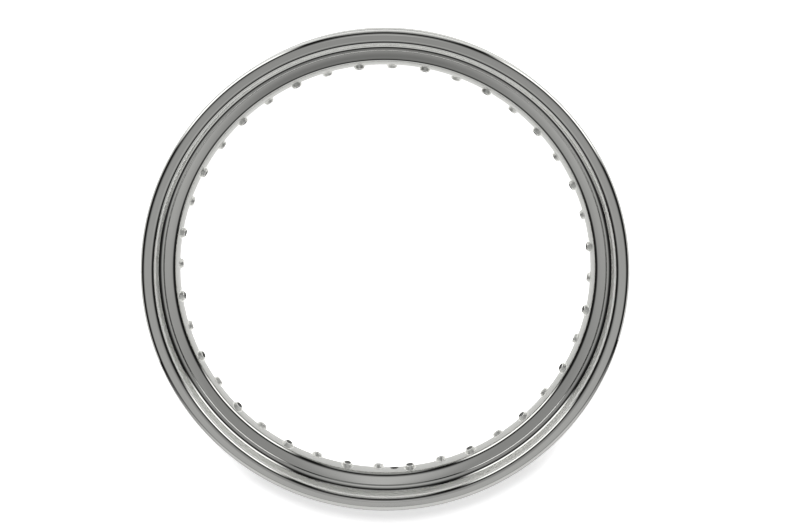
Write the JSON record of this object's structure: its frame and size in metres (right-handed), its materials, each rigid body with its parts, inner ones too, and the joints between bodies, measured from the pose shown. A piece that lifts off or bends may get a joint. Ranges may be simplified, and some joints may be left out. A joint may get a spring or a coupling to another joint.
{
  "type": "wheel rim",
  "caption": "Chromed roll-formed steel drop-centre rim for a spoked wheel, with rolled-over flanges, dimples for spoke nipples that lean to both sides, and a valve hole.",
  "frame": {"origin": "centre of the hoop, on the wheel's axis and its middle plane", "axes": "+Z along the wheel's axis, with the rim lying flat on its lower flange; -Y through the valve hole"},
  "size_m": [0.512, 0.512, 0.0776],
  "materials": {
    "chrome": "bright chrome plate, mirror polished"
  },
  "bodies": {
    "root": {"rim": "chrome"}
  },
  "joints": []
}
